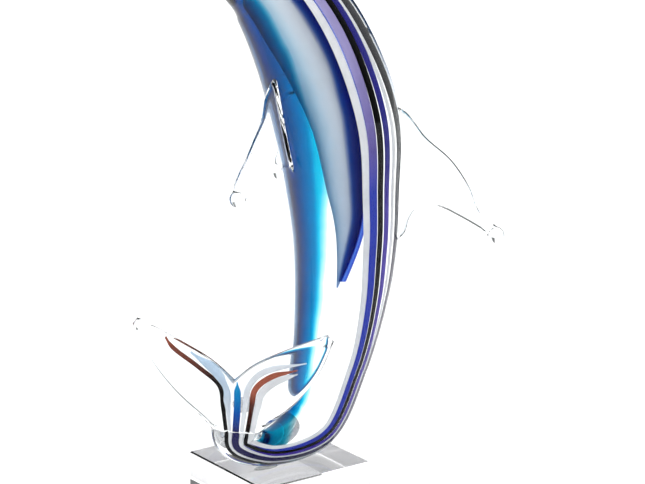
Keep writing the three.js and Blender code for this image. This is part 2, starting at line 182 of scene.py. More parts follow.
# Coloured glass drawn into canes: dense, with soft mottling where the colour is thicker and thinner.
def caneGlass(name, stops, mottle=7.14, contrast=0.12):
    material, tree = startMaterial(name)
    run = addNode(tree, "ShaderNodeAttribute", {"attribute_name": "run"})
    base = addNode(tree, "ShaderNodeValToRGB", {"stops": stops}, Fac=run.outputs["Fac"])
    place = addNode(tree, "ShaderNodeTexCoord").outputs["Object"]
    grain = addNode(tree, "ShaderNodeTexNoise", Vector=place, Scale=1000 / mottle, Detail=3.0)
    shade = addNode(tree, "ShaderNodeMapRange", Value=grain.outputs[0], To_Min=1 - contrast,
                    To_Max=1 + contrast)
    colour = addNode(tree, "ShaderNodeVectorMath", {"operation": "SCALE"}, _0=base.outputs[0],
                     Scale=shade.outputs[0])
    shader = addNode(tree, "ShaderNodeBsdfPrincipled", Base_Color=colour.outputs[0], Roughness=0.35,
                     IOR=1.02)
    finishMaterial(tree, shader)
    return material


# The tree that draws glass out along a path: round, then pressed to its depth across the way it faces.
def drawnGlassTree():
    tree = bpy.data.node_groups.new("Draw glass along a path", "GeometryNodeTree")
    face = tree.interface
    face.new_socket("Path", in_out="INPUT", socket_type="NodeSocketGeometry")
    for name, kind in (("Sides", "NodeSocketInt"), ("Width Scale", "NodeSocketFloat"),
                       ("Material", "NodeSocketMaterial")):
        face.new_socket(name, in_out="INPUT", socket_type=kind)
    face.new_socket("Glass", in_out="OUTPUT", socket_type="NodeSocketGeometry")
    given = addNode(tree, "NodeGroupInput")
    held = {}
    for name, kind in (("facing", "FLOAT_VECTOR"), ("centre", "FLOAT_VECTOR"), ("halfAcross", "FLOAT"),
                       ("flatness", "FLOAT")):
        node = addNode(tree, "GeometryNodeInputNamedAttribute", {"data_type": kind}, Name=name)
        held[name] = node.outputs[0]
    curve = addNode(tree, "GeometryNodeMeshToCurve", Mesh=given.outputs["Path"])
    turned = addNode(tree, "GeometryNodeSetCurveNormal", {"mode": "FREE"}, Curve=curve.outputs[0],
                     Normal=held["facing"])
    ring = addNode(tree, "GeometryNodeCurvePrimitiveCircle", Resolution=given.outputs["Sides"], Radius=1.0)
    width = addNode(tree, "ShaderNodeMath", {"operation": "MULTIPLY"}, _0=held["halfAcross"],
                    _1=given.outputs["Width Scale"])
    swept = addNode(tree, "GeometryNodeCurveToMesh", Curve=turned.outputs[0], Profile_Curve=ring.outputs[0],
                    Scale=width.outputs[0], Fill_Caps=True)
    here = addNode(tree, "GeometryNodeInputPosition")
    arm = addNode(tree, "ShaderNodeVectorMath", {"operation": "SUBTRACT"}, _0=here.outputs[0],
                  _1=held["centre"])
    height = addNode(tree, "ShaderNodeVectorMath", {"operation": "DOT_PRODUCT"}, _0=arm.outputs[0],
                     _1=held["facing"])
    press = addNode(tree, "ShaderNodeMath", {"operation": "SUBTRACT"}, _0=held["flatness"], _1=1.0)
    amount = addNode(tree, "ShaderNodeMath", {"operation": "MULTIPLY"}, _0=height.outputs["Value"],
                     _1=press.outputs[0])
    offset = addNode(tree, "ShaderNodeVectorMath", {"operation": "SCALE"}, _0=held["facing"],
                     Scale=amount.outputs[0])
    pressed = addNode(tree, "GeometryNodeSetPosition", Geometry=swept.outputs[0], Offset=offset.outputs[0])
    shaded = addNode(tree, "GeometryNodeSetShadeSmooth", Geometry=pressed.outputs[0])
    real = addNode(tree, "GeometryNodeRealizeInstances", Geometry=shaded.outputs[0])
    made = addNode(tree, "GeometryNodeSetMaterial", Geometry=real.outputs[0],
                   Material=given.outputs["Material"])
    addNode(tree, "NodeGroupOutput", Glass=made.outputs[0])
    return tree


drawnGlass = drawnGlassTree()


def addObject(name, mesh):
    piece = bpy.data.objects.new(name, mesh)
    bpy.context.scene.collection.objects.link(piece)
    return piece


# Runs the modifiers of a piece and leaves it as a plain mesh.
def settle(piece, name):
    bpy.context.view_layer.update()
    evaluated = piece.evaluated_get(bpy.context.evaluated_depsgraph_get())
    mesh = bpy.data.meshes.new_from_object(evaluated)
    old = piece.data
    bpy.data.objects.remove(piece)
    bpy.data.meshes.remove(old)
    mesh.name = name
    return addObject(name, mesh)


# A stretch of glass drawn along stations: point, facing, half width and half depth, all in the row's frame.
def drawGlass(name, stations, sides, material):
    mesh = bpy.data.meshes.new(name)
    mesh.from_pydata([s["at"] for s in stations], [(i, i + 1) for i in range(len(stations) - 1)], [])
    for key, kind in (("centre", "FLOAT_VECTOR"), ("facing", "FLOAT_VECTOR"), ("halfAcross", "FLOAT"),
                      ("flatness", "FLOAT"), ("run", "FLOAT")):
        layer = mesh.attributes.new(key, kind, "POINT")
        for i, s in enumerate(stations):
            if key == "centre":
                layer.data[i].vector = s["at"]
            elif key == "facing":
                layer.data[i].vector = s["facing"]
            elif key == "run":
                layer.data[i].value = i / (len(stations) - 1)
            else:
                layer.data[i].value = s["across"] if key == "halfAcross" else s["deep"] / s["across"]
    path = addObject(name + "Path", mesh)
    sweep = path.modifiers.new("draw", "NODES")
    sweep.node_group = drawnGlass
    inputs = {item.name: item.identifier for item in drawnGlass.interface.items_tree
              if item.in_out == "INPUT"}
    sweep[inputs["Sides"]] = sides
    sweep[inputs["Width Scale"]] = 1.0
    sweep[inputs["Material"]] = material
    return settle(path, name)


def toRowDirection(v):
    return (toRow.to_3x3() @ v).normalized()


def station(at, facing, across, deep):
    return {"at": toRow @ at, "facing": toRowDirection(facing), "across": across / 1000, "deep": deep / 1000}


def rideAs(piece, slot, *nodes):
    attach(piece, "root")
    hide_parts(*nodes)


clear = clearGlass()

# Tail: a plate that opens out of the joint into two flukes.
tail = {
    "plate": 5.6,            # thickness
    "rootHeight": 34.0,      # over which the round tail flattens
    "jointShare": 0.22,      # share of the upper edge that lies over the joint
    "outerEdge": [(37, 17.5), (54, 39), (64.4, 61)],
    "upperEdge": [(0, 31), (14, 42.5), (32, 52), (60.8, 65)],
    "outSteps": 46,
    "upSteps": 40,
    "flareSteps": 200,
    "rim": 3.0,              # width of the rounded edge
    "leastHalf": 0.3,        # half thickness that is kept between the edges
    "thinsFrom": 0.93,       # reach at which the plate thins towards its tip
    "tipBead": 3.8,          # radius of the bead near each tip
    "beadAt": (59.5, 60.5),
}
end = sectionAt(1)
tailPlace = Matrix((
    (end["side"].x, end["back"].x, end["along"].x, end["centre"].x),
    (end["side"].y, end["back"].y, end["along"].y, end["centre"].y),
    (end["side"].z, end["back"].z, end["along"].z, end["centre"].z),
    (0, 0, 0, 1),
))


# Mouth: a slit pressed into both sides of the beak.
mouth = {
    "length": 27.0,
    "height": 317.4,         # at the tip of the beak
    "drop": 2.4,             # over its length
    "half": (1.5, 0.5),      # half height at the tip and at the corner
    "pinch": 0.8,            # share by which the sides are pressed in
    "cleft": 4.0,            # how far it sets the tip back
}


# The body, drawn along its spine.
def sweepBody():
    stations = []
    for i in range(figure["rings"] + 1):
        share = (i / figure["rings"]) ** figure["crowding"]
        cut = sectionAt(share)
        tip = min(share / figure["tipShare"], 1)
        rounding = max(math.sqrt(1 - (1 - tip) ** 2), figure["tipLeast"])
        stations.append(station(cut["centre"], cut["back"], cut["across"] * rounding, cut["deep"] * rounding))
    return drawGlass("bodySweep", stations, 4 * figure["jointSteps"], clear)


# The flukes rib by rib, from one tip to the other: place, hand, lower and upper end, reach towards the tip.
def tailRibs(outer):
    upper = [Vector(p) for p in tail["upperEdge"]]
    n = figure["jointSteps"]
    ribs = []
    for hand in (-1, 1):
        for i in range(n + tail["outSteps"] + 1):
            if hand == 1 and i == 0:
                continue
            if i <= n:
                turn = math.sin(math.pi / 2 * i / n)
                low = Vector((turn * end["across"], 0))
                reach = tail["jointShare"] * turn
            else:
                out = (i - n) / tail["outSteps"]
                low = through(outer, out, True)
                reach = lerp(tail["jointShare"], 1, out)
            ribs.append((hand * i, hand, low, through(upper, reach, True), reach))
    return sorted(ribs, key=lambda rib: rib[0])


# The two faces of the flukes, as points along each rib.
def tailGrids(ribs, outer):
    # The tail's outer edge gives its half width at any height.
    flare = [through(outer, t / tail["flareSteps"], True) for t in range(tail["flareSteps"] + 1)]
    grids = []
    for _, hand, low, high, reach in ribs:
        row = []
        length = (high - low).length
        for k in range(tail["upSteps"] + 1):
            part = (1 - math.cos(math.pi * k / tail["upSteps"])) / 2
            at = low.lerp(high, part)
            flat = smooth(at.y, 0, tail["rootHeight"])
            wide = next((p.x for p in flare if p.y >= at.y), flare[-1].x)
            stock = end["deep"] * math.sqrt(max(0, 1 - (at.x / wide) ** 2))
            half = lerp(stock, tail["plate"] / 2, flat)
            edges = [(1 - part) * length]
            if reach > tail["jointShare"]:
                edges.append(part * length)
            for away in edges:
                half *= math.sqrt(1 - (1 - min(away / tail["rim"], 1)) ** 2)
            half *= math.sqrt(1 - smooth(reach, tail["thinsFrom"], 1.0) ** 2)
            fromBead = (at - Vector(tail["beadAt"])).length
            # Between the edges, the two faces are kept apart and swell into the bead.
            if 0 < k < tail["upSteps"] and reach < 0.999:
                bead = math.sqrt(max(0, tail["tipBead"] ** 2 - fromBead ** 2))
                half = max(half, tail["leastHalf"], bead)
            row.append([toRow @ (tailPlace @ Vector((hand * at.x, face * half, at.y))) for face in (1, -1)])
        grids.append(row)
    return grids


# Grinds the foot flat and presses the mouth in.
def finishSurface(built):
    toFigure = toRow.inverted()
    beak = Vector(sections[0][0])
    for v in built.verts:
        p = toFigure @ v.co
        p.z = max(p.z, figure["footFlat"])
        along = (p.x - beak.x) / mouth["length"]
        if along < 1:
            line = mouth["height"] - mouth["drop"] * along
            gap = lerp(*mouth["half"], min(max(along, 0), 1))
            # It fades out over the last third, and only its first sixth cuts into the tip.
            press = math.exp(-((p.z - line) / gap) ** 2) * min(1, (1 - along) * 3)
            p.y = lerp(p.y, beak.y, mouth["pinch"] * press)
            p.x += mouth["cleft"] * press * max(0, 1 - along * 6)
        v.co = toRow @ p


def makeSkin():
    body = sweepBody()
    built = bmesh.new()
    built.from_mesh(body.data)
    bpy.data.objects.remove(body)
    joint = toRow @ end["centre"]
    caps = [f for f in built.faces if len(f.verts) > 8]
    tailCap = min(caps, key=lambda f: (f.calc_center_median() - joint).length)
    rimVerts = list(tailCap.verts)
    bmesh.ops.delete(built, geom=[tailCap], context="FACES_ONLY")

    outer = [Vector((end["across"], 0))] + [Vector(p) for p in tail["outerEdge"]]
    ribs = tailRibs(outer)
    grids = tailGrids(ribs, outer)
    jointRow = []
    for face in (0, 1):
        verts = [[built.verts.new(row[k][face]) for k in range(len(row))] for row in grids]
        jointRow += [column[0] for column, rib in zip(verts, ribs) if abs(rib[0]) <= figure["jointSteps"]]
        for a, b in zip(verts, verts[1:]):
            for k in range(len(a) - 1):
                quad = [a[k], b[k], b[k + 1], a[k + 1]]
                built.faces.new(quad if face == 0 else quad[::-1])
    # Welds the body's rim onto the flukes' first row.
    for v in rimVerts:
        v.co = min((w.co for w in jointRow), key=lambda c: (c - v.co).length)
    bmesh.ops.remove_doubles(built, verts=built.verts, dist=2e-5)
    bmesh.ops.dissolve_degenerate(built, edges=built.edges, dist=1e-6)
    finishSurface(built)
    bmesh.ops.recalc_face_normals(built, faces=built.faces)
    for f in built.faces:
        f.smooth = True
    loose = sum(1 for e in built.edges if len(e.link_faces) != 2)
    mesh = bpy.data.meshes.new("dolphin_glass")
    built.to_mesh(mesh)
    built.free()
    mesh.materials.clear()
    mesh.materials.append(clear)
    print("dolphin skin made,", len(mesh.polygons), "faces,", loose, "open edges")
    rideAs(addObject("dolphin_glass", mesh), "clear_glass", "body_casing", "tail_flukes")


makeSkin()

# Canes by their angle from the ridge at the shoulders, the middle, low down and the tail, half their width as
# an angle, their colours along the body, and the points that those which run on pass in the tail.
# The "thin" colours are for the canes in the flukes, lighter and more tinted than along the body: painted
# backlight, together with the thinner glass showing its own tint.
canes = {
    "navy_ridge": {"angle": (9, 4, -1, 9), "half": 7.0, "joint": 2.1, "fluke": 2.2, "slot": "navy_glass",
                   "tail": [(2.6, 14), (2.4, 29.5)],
                   "colours": [(0.0, "#3c3c42"), (0.22, "#1a1a20"), (0.5, "#26244c"), (1.0, "#2d2b60")],
                   "thin": [(0.0, "#2d2b60"), (0.35, "#1a56b4"), (1.0, "#18a8e4")]},
    "fine_white_left": {"angle": (18, 16.4, 8.5, 24), "half": 2.6, "joint": 1.2, "fluke": 1.9,
                        "slot": "white_glass",
                        "tail": [(7.8, 16), (9.5, 27), (19, 37.5), (47, 46)],
                        "colours": [(0.0, "#ffffff"), (1.0, "#fbfcff")],
                        "thin": [(0.0, "#fbfcff"), (1.0, "#eef4fc")]},
    "violet_left": {"angle": (23.5, 26.6, 15.5, 30), "half": 4.1, "slot": "violet_glass",
                    "colours": [(0.0, "#2a2890"), (0.27, "#2a2890"), (0.37, "#5a48b8"), (1.0, "#4b3ab4")]},
    "black_left": {"angle": (31.5, 35.5, 24.5, 38), "half": 3.9, "joint": 1.3, "fluke": 1.8,
                   "slot": "black_glass",
                   "tail": [(11.5, 14), (13.5, 25.5), (23, 34.5), (41, 41)],
                   "colours": [(0.0, "#0a0a0c"), (1.0, "#101012")],
                   "thin": [(0.0, "#101012"), (0.3, "#5a2c22"), (0.45, "#b4604a"), (1.0, "#a85c48")]},
    "cobalt_left": {"angle": (40.4, 44.4, 34, 45), "half": 5.0, "slot": "cobalt_glass",
                    "colours": [(0.0, "#c0b6e6"), (0.15, "#b2a8dc"), (0.26, "#7468b4"), (0.33, "#3a4cc4"),
                                (1.0, "#2c3cb8")]},
    "broad_white_left": {"angle": (51.5, 52.8, 43, 51), "half": 4.1, "joint": 1.9, "fluke": 2.3,
                         "slot": "white_glass",
                         "tail": [(15.2, 15.5), (17.8, 24), (28, 33), (41, 38.5)],
                         "colours": [(0.0, "#ffffff"), (1.0, "#fbfcff")],
                         "thin": [(0.0, "#fbfcff"), (1.0, "#f2f4f8")]},
    "fine_white_right": {"angle": (-18, -15, -12, -5), "half": 3.2, "joint": 1.0, "fluke": 2.8,
                         "slot": "white_glass",
                         "tail": [(-3.6, 16), (-5.6, 24.5), (-11, 34.5), (-27, 46)],
                         "colours": [(0.0, "#ffffff"), (1.0, "#fbfcff")],
                         "thin": [(0.0, "#fbfcff"), (0.4, "#d8e8f8"), (1.0, "#c4dcf4")]},
    "black_right": {"angle": (-32, -28, -25, -15), "half": 4.2, "joint": 1.3, "fluke": 1.6,
                    "slot": "black_glass",
                    "tail": [(-6.5, 13.7), (-9, 26), (-22, 37), (-38, 48), (-43, 54)],
                    "colours": [(0.0, "#0a0a0c"), (1.0, "#101012")],
                    "thin": [(0.0, "#101012"), (0.45, "#1c1414"), (0.7, "#7c4032"), (1.0, "#a85c48")]},
    "cobalt_right": {"angle": (-46, -42, -37, -38), "half": 4.2, "slot": "cobalt_glass",
                     "colours": [(0.0, "#2a2890"), (0.3, "#2c3cb8"), (1.0, "#2c3cb8")]},
}
caneLay = {
    "cover": 1.5,            # clear glass over a cane
    "thickness": 1.3,
    "waist": 0.87,           # width in the middle, as a share of that at the shoulders
    "low": 0.92,             # the same low down
    "start": 0.33,           # shares of the way from beak to tail
    "stop": 0.93,
    "runOn": 0.997,
    "blends": ((0.38, 0.5), (0.6, 0.75), (0.8, 0.97)),    # where one angle or width turns into the next
    "joins": (0.82, 0.97),   # where a cane takes up its width in the tail
    "pointFrom": 0.84,       # where the others start to narrow
    "point": 0.1,            # half width at a pulled out end
    "tailPoint": 0.4,        # the same in the flukes
    "steps": 140,
    "tailSteps": 60,
    "sides": 16,
}


def caneValue(values, share):
    value = values[0]
    for following, blend in zip(values[1:], caneLay["blends"]):
        value = lerp(value, following, smooth(share, *blend))
    return value


def makeCanes():
    depth = caneLay["cover"] + caneLay["thickness"] / 2
    half = caneLay["thickness"] / 2
    for name, cane in canes.items():
        stations = []
        for i in range(caneLay["steps"] + 1):
            last = caneLay["runOn" if "tail" in cane else "stop"]
            share = lerp(caneLay["start"], last, i / caneLay["steps"])
            cut = sectionAt(share)
            angle = caneValue(cane["angle"], share)
            narrow = caneValue((1, caneLay["waist"], caneLay["low"], caneLay["low"]), share)
            wide = math.radians(cane["half"] * narrow) * cut["across"]
            # Those that run on meet their run in the tail; the others are pulled out to a point.
            if "tail" in cane:
                wide = lerp(wide, cane["joint"], smooth(share, *caneLay["joins"]))
            else:
                wide = lerp(wide, caneLay["point"], smooth(share, caneLay["pointFrom"], caneLay["stop"]))
            a = math.radians(angle)
            outward = (cut["side"] * (cut["deep"] * math.sin(a))
                       + cut["back"] * (cut["across"] * math.cos(a)))
            stations.append(station(pointAt(cut, angle, depth), outward, wide, half))
        finish = caneGlass(f"Drawn cane glass, {name.replace('_', ' ')}", cane["colours"])
        drawn = drawGlass(f"{name}_cane_glass", stations, caneLay["sides"], finish)
        rideAs(drawn, cane["slot"], f"{name}_cane")
        if "tail" not in cane:
            continue
        a = math.radians(cane["angle"][3])
        start = Vector(((end["across"] - depth) * math.sin(a), (end["deep"] - depth) * math.cos(a), 0))
        points = [start] + [Vector((x, 0.35 * start.y if i == 0 else 0, up))
                            for i, (x, up) in enumerate(cane["tail"])]
        stations = []
        for i in range(caneLay["tailSteps"] + 1):
            step = i / caneLay["tailSteps"]
            at = through(points, lerp(0.01, 1, step), True)
            wide = lerp(cane["joint"], cane["fluke"], smooth(step, 0.05, 0.4))
            wide = lerp(wide, caneLay["tailPoint"], smooth(step, 0.8, 1))
            stations.append(station(tailPlace @ at, end["back"], wide, half))
        # Painted backlight in the thin flukes: lighter, more tinted colours stand in for light coming through
        # from behind, where dark glass lets its own tint through.
        finish = caneGlass(f"Drawn cane glass, {name.replace('_', ' ')}, thin", cane["thin"])
        drawn = drawGlass(f"{name}_tail_cane_glass", stations, caneLay["sides"], finish)
        rideAs(drawn, cane["slot"], f"{name}_tail_cane")
    print("canes drawn")


makeCanes()

# Core: a teardrop of opal glass, with a cobalt jacket on the side of the back.
core = {
    "span": (0.3, 0.655),
    "radii": (9.0, 12.3, 9.4, 5.6, 0.3),    # from its head to its point
    "insets": (4, 3.2, 0.4, -1.0, 2.0),    # towards the belly
    "headRounding": 0.1,    # share of its length over which its head rounds off
    "steps": 90,
    "sides": 40,
    "gap": 0.4,             # between the core and its jacket
    "jacket": 1.6,          # thickness
    "jacketSpan": (0.06, 0.975),
    "jacketSteps": 80,
    "jacketArc": 20,
    "jacketBlends": ((0.3, 0.55), (0.7, 0.95)),
    "jacketHalfAngle": (48, 66, 92),        # at its head, its middle and its point
}
coreRadii = [Vector((r, 0)) for r in core["radii"]]
coreInsets = [Vector((r, 0)) for r in core["insets"]]


def coreCut(step):
    cut = sectionAt(lerp(*core["span"], step))
    rounding = math.sqrt(1 - (1 - min(step / core["headRounding"], 1)) ** 2)
    size = through(coreRadii, step).x * rounding
    size = max(size, core["radii"][-1])
    centre = cut["centre"] - cut["back"] * through(coreInsets, step).x
    return {**cut, "centre": centre, "across": size, "deep": size}


# Opal glass: milky, with soft clouds and a blue cast where it thins towards its point.
def opalGlass(cloud=26.3):
    material, tree = startMaterial("Milky opal glass")
    place = addNode(tree, "ShaderNodeTexCoord").outputs["Object"]
    clouds = addNode(tree, "ShaderNodeTexNoise", Vector=place, Scale=1000 / cloud, Detail=4.0)
    run = addNode(tree, "ShaderNodeAttribute", {"attribute_name": "run"})
    stops = [(0.0, "#f4f6fa"), (0.45, "#e8eff8"), (0.8, "#cfdcf0"), (1.0, "#86a8e0")]
    base = addNode(tree, "ShaderNodeValToRGB", {"stops": stops}, Fac=run.outputs["Fac"])
    shade = addNode(tree, "ShaderNodeMapRange", Value=clouds.outputs[0], To_Min=0.9, To_Max=1.1)
    colour = addNode(tree, "ShaderNodeVectorMath", {"operation": "SCALE"}, _0=base.outputs[0],
                     Scale=shade.outputs[0])
    shader = addNode(tree, "ShaderNodeBsdfPrincipled", Base_Color=colour.outputs[0], Roughness=0.4,
                     IOR=1.02)
    finishMaterial(tree, shader)
    return material


# A film of coloured glass inside the clear. Its IOR is near 1, as against the glass round it, so it only
# tints what passes. Its tint runs by the "across" attribute from deep in its middle to clear at its edge,
# fading out in soft wisps. The film is of even thickness, so the deep middle is its own colour together with
# painted shade for the longer path through it where it is seen edge-on.
def filmGlass(name, attribute, tints, wisp=22.2):
    material, tree = startMaterial(name)
    across = addNode(tree, "ShaderNodeAttribute", {"attribute_name": attribute})
    place = addNode(tree, "ShaderNodeTexCoord").outputs["Object"]
    wisps = addNode(tree, "ShaderNodeTexNoise", Vector=place, Scale=1000 / wisp, Detail=3.0)
    drift = addNode(tree, "ShaderNodeMapRange", Value=wisps.outputs[0], To_Min=-0.05, To_Max=0.05)
    shifted = addNode(tree, "ShaderNodeMath", {"operation": "ADD", "use_clamp": True},
                      _0=across.outputs["Fac"], _1=drift.outputs[0])
    tint = addNode(tree, "ShaderNodeValToRGB", {"stops": tints}, Fac=shifted.outputs[0])
    shader = addNode(tree, "ShaderNodeBsdfPrincipled", Base_Color=tint.outputs[0], Roughness=0.0, IOR=1.001,
                     Transmission_Weight=1.0)
    finishMaterial(tree, shader)
    return material


def makeCore():
    stations = []
    for i in range(core["steps"] + 1):
        step = (1 - math.cos(math.pi * i / core["steps"])) / 2
        cut = coreCut(step)
        stations.append(station(cut["centre"], cut["back"], cut["across"], cut["deep"]))
    drawn = drawGlass("opal_core_glass", stations, core["sides"], opalGlass())
    rideAs(drawn, "opal_glass", "opal_core")


# A closed curved layer from rings of outer and inner points; "across" runs 0 in its middle to 1 at its edges.
def makeLayer(name, rings, crossings, material):
    mesh = bpy.data.meshes.new(name)
    size = len(rings[0])
    verts = [toRow @ p for ring in rings for p in ring]
    faces = []
    for r in range(len(rings) - 1):
        for i in range(size):
            j = (i + 1) % size
            faces.append((r * size + i, r * size + j, (r + 1) * size + j, (r + 1) * size + i))
    faces.append(tuple(range(size))[::-1])
    faces.append(tuple((len(rings) - 1) * size + i for i in range(size)))
    mesh.from_pydata(verts, [], faces)
    layer = mesh.attributes.new("across", "FLOAT", "POINT")
    for r in range(len(rings)):
        for i in range(size):
            layer.data[r * size + i].value = crossings[r][i]
    built = bmesh.new()
    built.from_mesh(mesh)
    bmesh.ops.recalc_face_normals(built, faces=built.faces)
    for f in built.faces:
        f.smooth = True
    built.to_mesh(mesh)
    built.free()
    mesh.materials.append(material)
    return addObject(name, mesh)


# One ring of a layer: along its outer face, and back along its inner one.
def arcRing(outsideAt, insideAt, steps):
    turns = [2 * k / steps - 1 for k in range(steps + 1)]
    ring = [outsideAt(t) for t in turns] + [insideAt(t) for t in reversed(turns)]
    return ring, [abs(t) for t in turns] + [abs(t) for t in reversed(turns)]


def makeJacket():
    rings, crossings = [], []
    for i in range(core["jacketSteps"] + 1):
        step = lerp(*core["jacketSpan"], i / core["jacketSteps"])
        cut = coreCut(step)
        head, middle, point = core["jacketHalfAngle"]
        half = lerp(head, middle, smooth(step, *core["jacketBlends"][0]))
        half = lerp(half, point, smooth(step, *core["jacketBlends"][1]))
        ring, crossing = arcRing(lambda t: pointAt(cut, t * half, -core["gap"] - core["jacket"]),
                                 lambda t: pointAt(cut, t * half, -core["gap"]), core["jacketArc"])
        rings.append(ring)
        crossings.append(crossing)
    # The deep cobalt in the middle of the jacket is partly its own colour and partly painted shade, where the
    # film is seen edge-on.
    film = filmGlass("Cobalt casing film", "across",
                     [(0.0, "#2c38a0"), (0.5, "#3c60c0"), (0.8, "#5c8cd4"), (1.0, "#ffffff")])
    rideAs(makeLayer("cobalt_jacket_glass", rings, crossings, film), "jacket_glass", "cobalt_jacket")
    print("core and jacket made")


makeCore()
makeJacket()

# Belly streak: a curved film of turquoise to navy glass.
streak = {
    "span": (0.24, 0.985),
    "cover": 13.0,           # clear glass over it, where the body is stoutest
    "thickness": 2.0,
    "thinnest": 0.35,        # share of the thickness that a thin body would keep
    "half": (76, 62, 16),    # half angle at the shoulders, in the middle and low down
    "blends": ((0.4, 0.62), (0.84, 0.94)),
    "fade": (0.865, 0.89),   # where its colour runs out
    "steps": 160,
    "arc": 28,
}


def makeStreak():
    rings, crossings = [], []
    for i in range(streak["steps"] + 1):
        share = lerp(*streak["span"], i / streak["steps"])
        cut = sectionAt(share)
        stout = cut["deep"] / figure["girth"]
        half = lerp(streak["half"][0], streak["half"][1], smooth(share, *streak["blends"][0]))
        half = lerp(half, streak["half"][2], smooth(share, *streak["blends"][1]))
        cover = streak["cover"] * stout
        depth = cover + streak["thickness"] * lerp(streak["thinnest"], 1, stout)
        fade = smooth(share, *streak["fade"])
        ring, crossing = arcRing(lambda t: pointAt(cut, 180 + t * half, cover),
                                 lambda t: pointAt(cut, 180 + t * half, depth), streak["arc"])
        rings.append(ring)
        crossings.append([max(c, fade) for c in crossing])
    # The navy in the middle of the streak is partly its own colour and partly painted shade, where the film
    # is seen edge-on.
    film = filmGlass("Turquoise and navy glass film", "across",
                     [(0.0, "#14203c"), (0.2, "#0c447c"), (0.5, "#0078ac"), (0.88, "#08b4d8"),
                      (0.96, "#90e4f2"), (1.0, "#ffffff")])
    rideAs(makeLayer("belly_streak_glass", rings, crossings, film), "blue_glass", "belly_streak")
    print("belly streak made")


makeStreak()

# Fins: plates of clear glass with a bead at the tip, seated on the body.
fins = {
    "thickness": 4.6,
    "knob": 5.2,             # radius of the bead
    "seat": 0.3,             # gap to the body
    "seatSpan": (0.34, 0.76),
    "seatSteps": 180,
    "seatSides": 128,
    "trunk": 8 / 15,         # share of the body's length whose section sets the fins' frame
    "dorsal": [(15, 222), (37, 215), (50.4, 199.5), (66, 186.5), (77, 171), (83.5, 156), (94, 146.5),
               (93, 139), (85, 145), (70, 153), (57, 158), (46.5, 157), (41, 149), (37, 138), (15, 128)],
    "pectoral": [(-16, 236), (5, 240), (13, 227), (15.4, 214), (20.3, 202), (25.3, 190.5), (33, 172),
                 (28, 165), (21, 171), (14.8, 176), (8.8, 181), (0, 184), (-8, 176), (-16, 182)],
    "dorsalKnob": (94, 142),
    "pectoralKnob": (30.6, 166.5),
    "towardsBack": -27.4,
    "outwards": 30.5,
    "splay": 32,             # degrees
    "farDroop": 5,           # how much lower the far one sits
    "rimSteps": 168,
    "voxel": 0.9,
    "polish": 14,
}
trunk = sectionAt(fins["trunk"])
upright = Matrix.Translation((trunk["centre"].x, trunk["centre"].y, figure["lift"])) @ Matrix.Rotation(
    math.atan2(trunk["back"].y, trunk["back"].x), 4, "Z")


# The stretch of the body that the fins sit on, a little stouter than the body itself.
def makeSeatCutter():
    stations = []
    for i in range(fins["seatSteps"] + 1):
        cut = sectionAt(lerp(*fins["seatSpan"], i / fins["seatSteps"]))
        stations.append(station(cut["centre"], cut["back"], cut["across"] + fins["seat"],
                                cut["deep"] + fins["seat"]))
    return drawGlass("seatCutter", stations, fins["seatSides"], clear)


seatCutter = makeSeatCutter()


# Keeps the largest body, should a crumb be left inside.
def keepLargest(built):
    seen, islands = set(), []
    for v in built.verts:
        if v in seen:
            continue
        island, queue = [], [v]
        seen.add(v)
        while queue:
            w = queue.pop()
            island.append(w)
            for e in w.link_edges:
                other = e.other_vert(w)
                if other not in seen:
                    seen.add(other)
                    queue.append(other)
        islands.append(island)
    islands.sort(key=len, reverse=True)
    bmesh.ops.delete(built, geom=[v for island in islands[1:] for v in island], context="VERTS")


def makeFin(name, outline, knob, placing, material):
    corners = [Vector(p) for p in outline]
    closed = corners + [corners[0]]
    rim = [through(closed, i / fins["rimSteps"], True) for i in range(fins["rimSteps"])]
    built = bmesh.new()
    half = fins["thickness"] / 2
    low = [built.verts.new((p.x, p.y, -half)) for p in rim]
    high = [built.verts.new((p.x, p.y, half)) for p in rim]
    built.faces.new(low[::-1])
    built.faces.new(high)
    for i in range(len(rim)):
        j = (i + 1) % len(rim)
        built.faces.new((low[i], low[j], high[j], high[i]))
    bmesh.ops.create_uvsphere(built, u_segments=32, v_segments=20, radius=fins["knob"],
                              matrix=Matrix.Translation((knob[0], knob[1], 0)))
    bmesh.ops.recalc_face_normals(built, faces=built.faces)
    mesh = bpy.data.meshes.new(name)
    built.to_mesh(mesh)
    built.free()
    plate = addObject(name + "Blank", mesh)
    remesh = plate.modifiers.new("melt", "REMESH")
    remesh.mode = "VOXEL"
    remesh.voxel_size = fins["voxel"]
    polish = plate.modifiers.new("firePolish", "SMOOTH")
    polish.factor = 0.5
    polish.iterations = fins["polish"]
    plate = settle(plate, name + "Plate")
    plate.data.transform(toRow @ upright @ placing @ Matrix.Rotation(math.pi / 2, 4, "X"))
    seat = plate.modifiers.new("seat", "BOOLEAN")
    seat.operation = "DIFFERENCE"
    seat.solver = "EXACT"
    seat.object = seatCutter
    plate = settle(plate, name)
    built = bmesh.new()
    built.from_mesh(plate.data)
    keepLargest(built)
    for f in built.faces:
        f.smooth = True
    built.to_mesh(plate.data)
    built.free()
    plate.data.materials.clear()
    plate.data.materials.append(material)
    return plate


def pectoralPlacing(hand):
    turn = Matrix.Rotation(math.pi + hand * math.radians(fins["splay"]), 4, "Z")
    return Matrix.Translation((fins["towardsBack"], -hand * fins["outwards"],
                               -fins["farDroop"] if hand < 0 else 0)) @ turn


